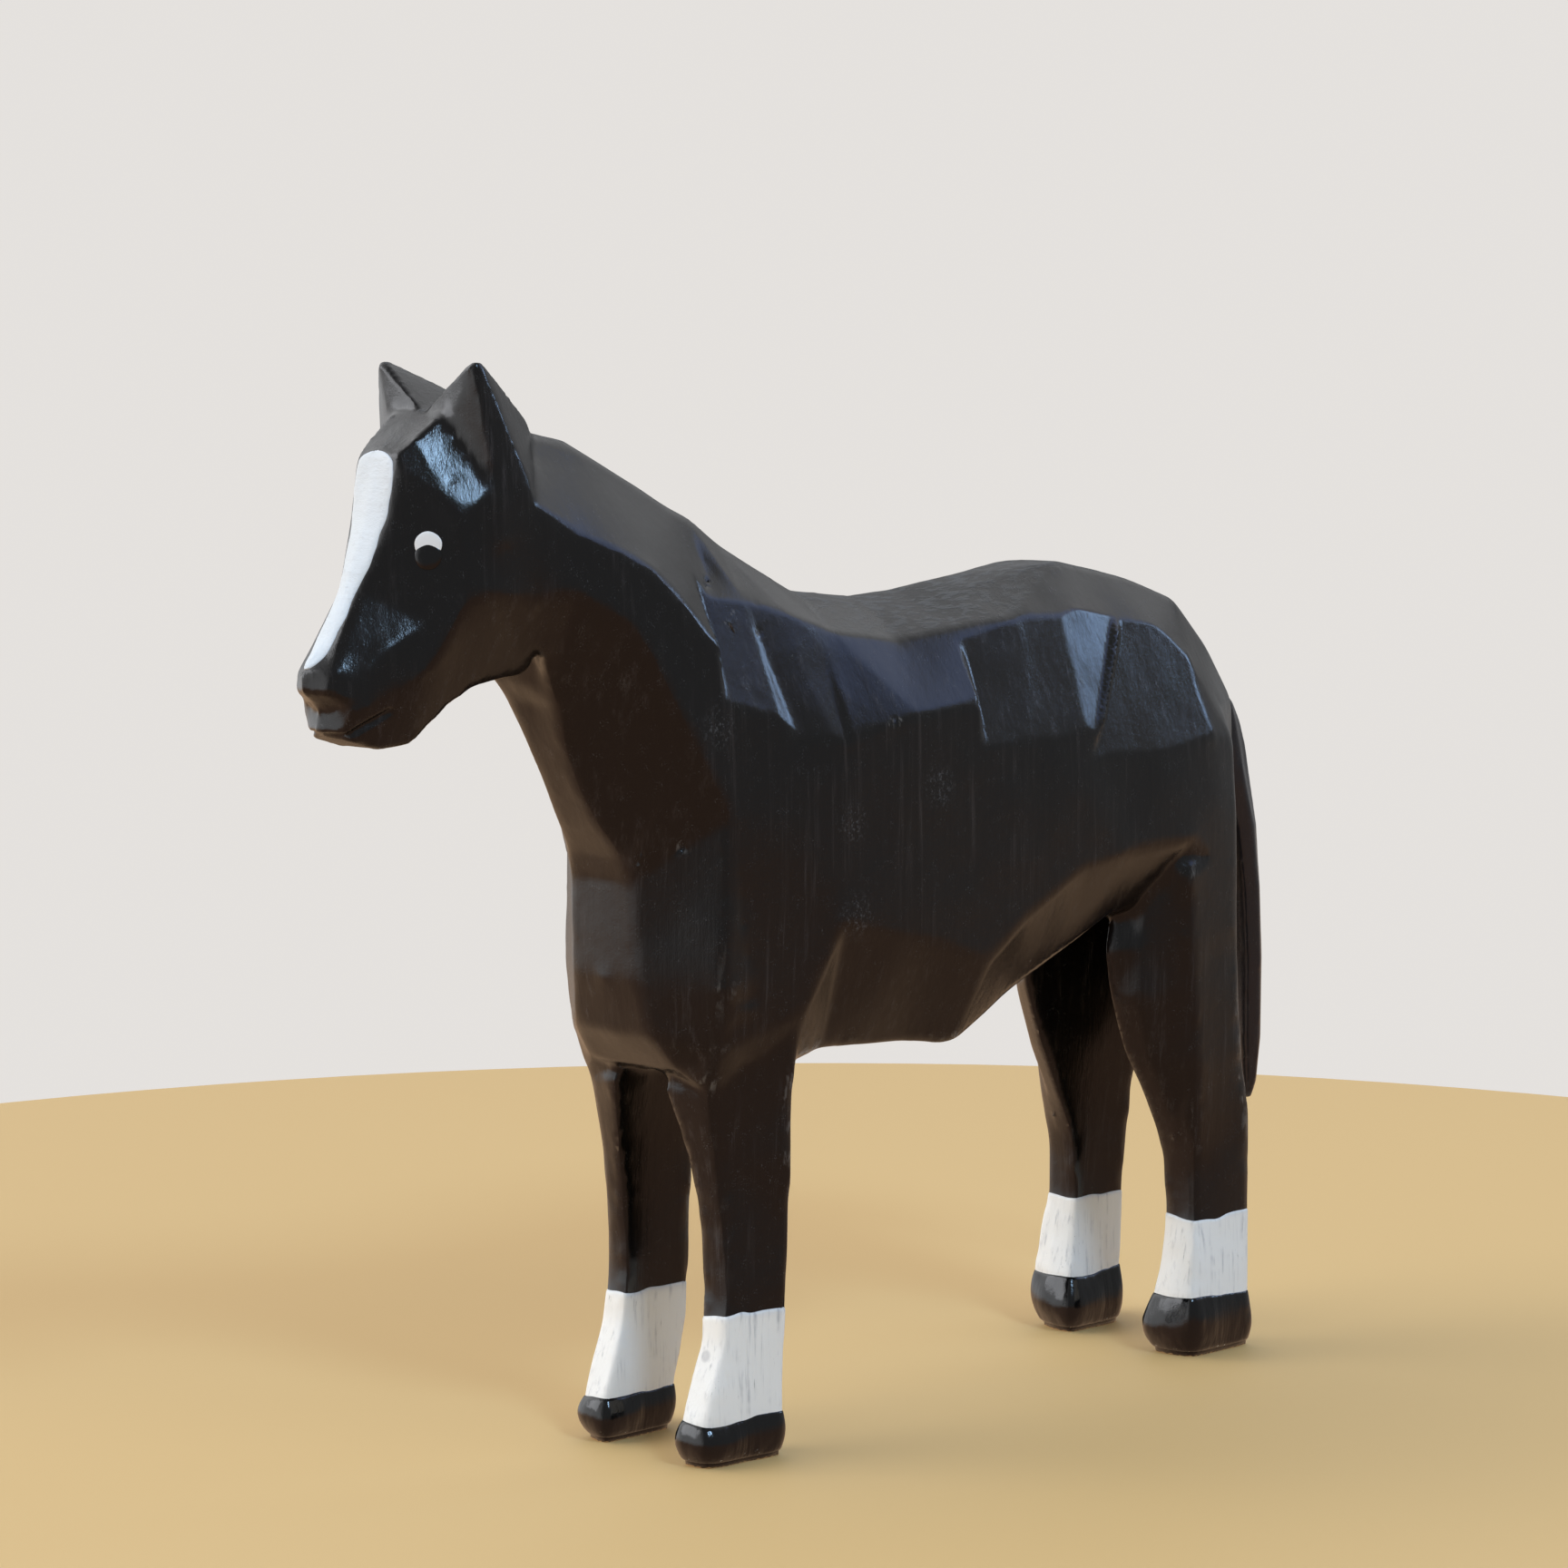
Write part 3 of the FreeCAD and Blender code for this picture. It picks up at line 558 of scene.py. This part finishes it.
sock = {
    "knot": (6.4, -22.5, 10.0, 0.8),
    "coat": 0.10,                 # thickness in the middle of the coat
    "swell": 0.0,                 # how far the middle of the band stands out beyond that
    "wave": 0.28,                 # how far the painted edge wanders up and down
    "under": 0.7,                 # how far the sock runs on under the hoof's black
    "around": 168,
    "up": 40,
}
hoof = {
    "coat": 0.15,
    "swell": 0.66,
    "wave": 0.22,
    "around": 168,
    "up": 26,
}
skinDepth = 0.35                  # how far the hidden side of a paint coat lies inside the wood
legs = (("fore", "left", 11), ("fore", "right", 12), ("hind", "left", 13), ("hind", "right", 14))


def edgeWave(turn, size, seed):
    # three slow sine waves round the leg, each with its own phase
    phases = np.random.default_rng(seed).uniform(0, 2 * np.pi, 3)
    shape = np.sin(turn + phases[0])
    shape = shape + 0.6 * np.sin(2 * turn + phases[1])
    shape = shape + 0.35 * np.sin(5 * turn + phases[2])
    return size * shape / 1.4


def sectionRadius(points, edges, centre, level, turn):
    # where the edges of the wood's skin cross a level plane: directions from the centre, sorted, with their
    # distances, read off at every turn
    first, second = points[edges[:, 0]], points[edges[:, 1]]
    crossing = (first[:, 2] < level) != (second[:, 2] < level)
    first, second = first[crossing], second[crossing]
    share = ((level - first[:, 2]) / (second[:, 2] - first[:, 2]))[:, None]
    spots = (first + (second - first) * share)[:, :2] - centre
    angle = np.arctan2(spots[:, 1], spots[:, 0]) % (2 * np.pi)
    order = np.argsort(angle)
    return np.interp(turn, angle[order], np.hypot(*spots[order].T), period=2 * np.pi)


def legBand(name, node, bottomWave, topWave, below, settings, seed):
    # profile: out over the wood's skin from the lower edge to the upper one, thinning to nothing at both,
    # and back inside the wood, carried round the leg; each wave is its size and seed
    low, high = (np.array(corner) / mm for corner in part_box(node))
    turn = np.linspace(0, 2 * np.pi, settings["around"] + 1)[:-1]
    share = np.linspace(0, 1, settings["up"])
    centre = (high + low)[:2] / 2
    points, edges = readPoints(bodyWood.data) / mm, readEdges(bodyWood.data)
    near = np.all(np.abs(points[:, :2] - centre) < (high - low)[:2] / 2 + 1.5, axis=1)
    near &= (points[:, 2] > low[2] - 3) & (points[:, 2] < high[2] + 3)
    edges = edges[near[edges].all(axis=1)]
    levels = np.linspace(max(low[2] - below - 1, 0.05), high[2] + 1, 60)
    radius = np.stack([sectionRadius(points, edges, centre, level, turn) for level in levels])
    base = low[2] - below + edgeWave(turn, *bottomWave)
    top = high[2] + edgeWave(turn, *topWave)
    z = base[None, :] + (top - base)[None, :] * share[:, None]
    step = np.clip((z - levels[0]) / (levels[1] - levels[0]), 0, len(levels) - 1.001)
    whole = step.astype(int)
    column = np.arange(len(turn))[None, :]
    reach = radius[whole, column] + (radius[whole + 1, column] - radius[whole, column]) * (step - whole)
    skin = np.stack([centre[0] + reach * np.cos(turn), centre[1] + reach * np.sin(turn), z], -1)
    along = np.roll(skin, -1, axis=1) - np.roll(skin, 1, axis=1)
    out = np.stack([along[..., 1], -along[..., 0], np.zeros(along.shape[:2])], -1)
    out /= np.maximum(np.linalg.norm(out, axis=-1, keepdims=True), 1e-9)
    for _ in range(3):
        out = out + np.roll(out, 1, axis=1) + np.roll(out, -1, axis=1)
        out /= np.linalg.norm(out, axis=-1, keepdims=True)
    rise = np.clip(np.minimum(share, 1 - share) * (top - base).mean() / 0.35, 0, 1)
    rise = np.sqrt(1 - (1 - rise) ** 2)
    flat = skin.reshape(-1, 3)
    brushed = 1 + 0.16 * valueNoise(flat * np.array([1, 1, 0.15]), 0.7, seed).reshape(skin.shape[:2])
    toe = 0.45 + 0.55 * np.clip(-np.sin(turn), 0, 1)                    # fuller in front than at the sides
    swell = settings["swell"] * toe[None, :] * np.sin(np.pi * share)[:, None]
    proud = settings["coat"] * rise[:, None] * brushed + swell
    outer = skin + out * proud[..., None]
    inner = skin - out * skinDepth
    piece = closedSurface(name, np.concatenate([outer, inner[::-1]]) * mm, ring=True)
    at = readPoints(piece.data) / mm
    edge = np.minimum(at[:, 2] - (low[2] - below), high[2] - at[:, 2])
    writeShare(piece.data, "thin", 1 - between(edge, -0.2, 0.7))
    return piece


whiteSock = whitePaint("brushedWhitePaint", (1.0, 1.0, 0.06), 0.95, knot=sock["knot"])
blackHoof = glossPaint("glossBlackPaint")
for which, side, seed in legs:
    where = which.title() + side.title()
    upper = (sock["wave"], seed)
    seam = (hoof["wave"], seed + 20)
    sole = (0, seed)
    band = legBand("sock" + where, f"sock_{which}_{side}", seam, upper, sock["under"], sock, seed)
    finishPiece(band, whiteSock, "white_paint", f"sock_{which}_{side}")
    cap = legBand("hoof" + where, f"hoof_{which}_{side}", sole, seam, 0.0, hoof, seed + 40)
    finishPiece(cap, blackHoof, "gloss_black_paint", f"hoof_{which}_{side}")
print("socks and hooves painted")


blaze = {
    # painted shade: the blaze's white is a greyer, bluer copy of the socks' white paint
    "paint": (0.61, 0.66, 0.69, 1),
    "coat": 0.11,
    "wander": 0.10,               # how far the brushed edge strays, as a share of the half-width
    # share of the height from the foot to the crown, half-width
    "widths": ((0.0, 1.15), (0.06, 1.22), (0.13, 1.24), (0.22, 1.16), (0.36, 1.22),
               (0.52, 1.78), (0.67, 2.28), (0.80, 2.62), (0.90, 2.5), (1.0, 2.1)),
    "crown": 1.0,                 # how far from the upper end the outline rounds off
    "foot": 1.9,                  # and from the lower end
    "across": 36,
    "up": 150,
}


def makeBlaze():
    # the face is followed from foot to crown; each row is a closed loop over the wood and back inside it
    low, high = (np.array(corner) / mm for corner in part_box("blaze"))
    share = (1 - np.cos(np.linspace(0, np.pi, blaze["up"]))) / 2
    z = low[2] + share * (high[2] - low[2])
    half = np.interp(share, *np.array(blaze["widths"]).T)
    soft = np.ones(5) / 5
    half = np.convolve(np.pad(half, 2, mode="edge"), soft, "valid")
    foot = np.clip((z - low[2]) / blaze["foot"], 0, 1)
    crown = np.clip((high[2] - z) / blaze["crown"], 0, 1)
    half *= np.sqrt(1 - (1 - foot) ** 2) * np.sqrt(1 - (1 - crown) ** 2)
    spread = np.sin(np.linspace(-np.pi / 2, np.pi / 2, blaze["across"]))
    rowsAt = np.stack([np.zeros_like(z), np.zeros_like(z), z], -1)
    left = blaze["wander"] * valueNoise(rowsAt, 1.4, 31)
    right = blaze["wander"] * valueNoise(rowsAt, 1.4, 32)
    side = np.where(spread[None, :] > 0, left[:, None], right[:, None]) * np.abs(spread)
    x = half[:, None] * (spread[None, :] + side)
    grid = np.stack([x, np.full_like(x, low[1] - 3), np.broadcast_to(z[:, None], x.shape)], -1)
    skin = laidOn(grid * mm, bodyWood, lengthwise=True) / mm
    away = np.cross(np.gradient(skin, axis=0), np.array([1.0, 0, 0]))
    away /= np.maximum(np.linalg.norm(away, axis=-1, keepdims=True), 1e-9)
    away *= np.sign(-away[..., 1:2])
    rise = np.sqrt(np.clip(1 - np.abs(spread) ** 6, 0, 1))
    outer = skin + away * (blaze["coat"] * rise)[None, :, None]
    inner = skin - away * skinDepth
    piece = closedSurface("blazePaint", np.concatenate([outer, inner[:, ::-1]], axis=1) * mm)
    at = readPoints(piece.data) / mm
    end = np.minimum(at[:, 2] - low[2], high[2] - at[:, 2])
    writeShare(piece.data, "thin", 1 - between(end, -0.3, 0.6))
    # the blaze takes the shaded copy of the white paint, a painted shade
    coat = whitePaint("blazeShadedWhitePaint", (0.5, 0.09, 1.2), 0.45, blaze["paint"])
    return finishPiece(piece, coat, "white_paint", "blaze")


makeBlaze()
print("blaze painted")


eye = {
    "white": 1.16,                # radius of the white spot, and of the pupil over it
    "pupil": 1.15,
    "drop": 0.95,                 # how far the pupil sits below the white spot's middle
    "whiteCoat": 0.13,
    "pupilCoat": 0.20,
    "around": 96,
    "out": 22,
}


def bead(name, centre, outward, radius, coat, target):
    # a drop of paint: a dome over a round patch, with its underside inside the wood
    side = np.cross([0, 0, 1.0], outward)
    side /= np.linalg.norm(side)
    up = np.cross(outward, side)
    turn = np.linspace(0, 2 * np.pi, eye["around"] + 1)
    ring = np.sin(np.linspace(0.02, np.pi / 2, eye["out"]))
    wobble = 1 + 0.012 * np.sin(3 * turn + 1) + 0.01 * np.sin(5 * turn)
    r = radius * ring[:, None] * wobble[None, :]
    flat = centre + outward * 2 + side * (r * np.cos(turn))[..., None] + up * (r * np.sin(turn))[..., None]
    skin = laidOn(flat * mm, target)[:, :-1] / mm
    dome = coat * np.sqrt(np.clip(1 - ring ** 3, 0, 1))
    outer = skin + outward * dome[:, None, None]
    inner = skin - outward * skinDepth
    piece = closedSurface(name, np.concatenate([outer, inner[::-1]]) * mm)
    writeShare(piece.data, "thin", np.zeros(len(piece.data.vertices)))
    return piece


eyeWhite = whitePaint("eyeWhitePaint", (0.3, 0.3, 0.3), 0.12)
for side in ("left", "right"):
    # the pupil's own flat solid gives the eye's middle and the way that the cheek faces there
    corners = readPoints(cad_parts["pupil_" + side].data) / mm
    middle = (corners.min(0) + corners.max(0)) / 2
    outward = np.linalg.svd(corners - corners.mean(0))[2][2]
    outward *= np.sign(outward[0]) * np.sign(middle[0])
    lift = np.array([0, 0, 1.0]) - outward * outward[2]
    lift /= np.linalg.norm(lift)
    raised = middle + lift * eye["drop"]
    white = bead("eyeWhite" + side.title(), raised, outward, eye["white"], eye["whiteCoat"], bodyWood)
    finishPiece(white, eyeWhite, "white_paint", "eye_white_" + side)
    dot = bead("pupil" + side.title(), middle, outward, eye["pupil"], eye["pupilCoat"], bodyWood)
    finishPiece(dot, blackHoof, "gloss_black_paint", "pupil_" + side)
print("eyes painted")

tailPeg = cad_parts["tail_peg"]
tailPeg.data.materials.clear()
tailPeg.data.materials.append(dowelWood("dowelWood"))
print("tail peg finished")


view = {
    "side": 45.9,                 # degrees round from the nose towards the horse's left
    "down": 5.81,                 # degrees that the camera looks down
    "place": (287.9, -285.07, 101.3),
    "lens": 99.25,
}
cameraData = bpy.data.cameras.new("camera")
cameraData.lens = view["lens"]
cameraData.sensor_width = 36
cameraData.clip_start, cameraData.clip_end = 0.01, 20
camera = bpy.data.objects.new("camera", cameraData)
bpy.context.scene.collection.objects.link(camera)
sideways, down = math.radians(view["side"]), math.radians(view["down"])
ahead = Vector((-math.sin(sideways) * math.cos(down), math.cos(sideways) * math.cos(down), -math.sin(down)))
camera.location = Vector(view["place"]) * mm
camera.rotation_euler = ahead.to_track_quat("-Z", "Y").to_euler()
bpy.context.scene.camera = camera
bpy.context.scene.view_settings.view_transform = "Standard"


studio = {
    "floorTone": (0.66, 0.44, 0.182, 1),
    "wallTone": (0.78, 0.755, 0.73, 1),
    "roomDark": 0.25,                     # glow of the room on the viewer's side, and of the far side
    "roomBack": 0.27,
    "roomHigh": 1.0,                      # glow high above the far side
    "roomLeft": 1.15,                     # added glow on the left
    "tableLeft": 0.55,
    "tableNear": (0.36, 0.21, 0.14, 1),   # warm glow from below, near the viewer and far away
    "tableFar": (0.60, 0.39, 0.24, 1),
    "floorReach": 0.20,                   # metres from the horse to the floor's edge
    "wallReach": 3.0,                     # and to the wall
    # azimuth round the horse from its nose, height in degrees, width, height, distance (metres), radiance,
    # and whether the paint mirrors it
    "lights": (
        ("leftWindow", -38, 30, 0.85, 0.75, 1.10, (2.3, 2.35, 2.5), True),
        ("rightWindow", 80, 41, 0.21, 0.20, 1.00, (13.0, 20.0, 28.5), True),
        ("farWindow", 161, 19, 0.14, 0.16, 1.00, (2.9, 4.5, 7.2), True),
        ("farSky", 150, 33, 0.50, 0.24, 1.00, (0.20, 0.38, 0.95), True),
        ("sideFill", 105, 34, 0.80, 0.80, 1.10, (1.3, 1.4, 1.6), False),
    ),
}


def plainMaterial(name, tone, glow=False):
    m = Maker(bpy.data.materials.new(name))
    if glow:
        shader = m.node("Emission", {}, {"Color": tone, "Strength": 1.0})
    else:
        shader = m.node("BsdfPrincipled", {}, {"Base Color": tone, "Roughness": 0.6})
    m.node("OutputMaterial", {}, {"Surface": shader})
    return m.owner


def makeStudio():
    floorMesh = bpy.data.meshes.new("floor")
    turn = np.linspace(0, 2 * np.pi, 129)[:-1]
    rim = np.stack([np.cos(turn), np.sin(turn), np.zeros(128)], -1) * studio["floorReach"]
    floorMesh.from_pydata(rim.tolist(), [], [list(range(128))])
    floor = bpy.data.objects.new("floor", floorMesh)
    floorMesh.materials.append(plainMaterial("paleFloor", studio["floorTone"]))
    # backdrop: a closed sphere, by its angle above the floor and its angle round the horse
    heights, turns = np.linspace(-np.pi / 2, np.pi / 2, 33), np.linspace(0, 2 * np.pi, 65)[:-1]
    rise, around = np.meshgrid(heights, turns, indexing="ij")
    dome = np.stack([np.cos(rise) * np.cos(around), np.cos(rise) * np.sin(around), np.sin(rise)], -1)
    backdrop = closedSurface("backdrop", dome * studio["wallReach"])
    backdrop.data.materials.append(plainMaterial("paleWall", studio["wallTone"], glow=True))
    backdrop.visible_diffuse = False
    backdrop.visible_glossy = False
    backdrop.visible_transmission = False
    backdrop.visible_shadow = False
    bpy.context.scene.collection.objects.link(floor)
    floor.visible_glossy = False          # the paint mirrors the room's warm lower half instead
    for name, azimuth, height, width, tall, far, radiance, mirrored in studio["lights"]:
        lamp = bpy.data.lights.new(name, "AREA")
        lamp.shape = "RECTANGLE"
        lamp.size, lamp.size_y = width, tall
        lamp.color = [part / max(radiance) for part in radiance]
        lamp.energy = max(radiance) * math.pi * width * tall
        a, e = math.radians(azimuth), math.radians(height)
        away = Vector((math.sin(a) * math.cos(e), -math.cos(a) * math.cos(e), math.sin(e)))
        thing = bpy.data.objects.new(name, lamp)
        thing.location = Vector((0, 0, 0.06)) + away * far
        thing.rotation_euler = (-away).to_track_quat("-Z", "Y").to_euler()
        thing.visible_camera = False
        thing.visible_glossy = mirrored
        bpy.context.scene.collection.objects.link(thing)


def makeRoom():
    # the light all round: dim on the viewer's side, brightest high on the far side and on the left
    world = bpy.data.worlds.new("room")
    bpy.context.scene.world = world
    m = Maker(world)
    towards = m.node("TexCoord", out="Generated")
    dot = {"operation": "DOT_PRODUCT"}
    back = m.node("VectorMath", dot, {0: towards, 1: (ahead.x, ahead.y, 0)}, out="Value")
    upward = m.node("SeparateXYZ", {}, {0: towards}, out="Z")
    share = m.step(back, -0.25, 0.65)
    high = m.step(upward, 0.15, 0.60)
    right = m.node("VectorMath", dot, {0: towards, 1: (ahead.y, -ahead.x, 0)}, out="Value")
    left = m.step(0 - right, 0.2, 0.75)
    level = studio["roomDark"] + share * (studio["roomBack"] - studio["roomDark"])
    level = level + share * high * (studio["roomHigh"] - studio["roomBack"]) + left * studio["roomLeft"]
    scale = {"operation": "SCALE"}
    table = m.colour(share, studio["tableNear"], studio["tableFar"])
    table = m.node("VectorMath", scale, {0: table, "Scale": 1 + left * studio["tableLeft"]})
    room = m.node("VectorMath", scale, {0: (0.97, 0.98, 1.0), "Scale": level})
    seen = m.colour(m.step(0 - upward, 0.04, 0.28), room, table)
    glow = m.node("Background", {}, {"Color": seen, "Strength": 1.0})
    m.node("OutputWorld", {}, {"Surface": glow})


makeStudio()
makeRoom()
print("studio lit")
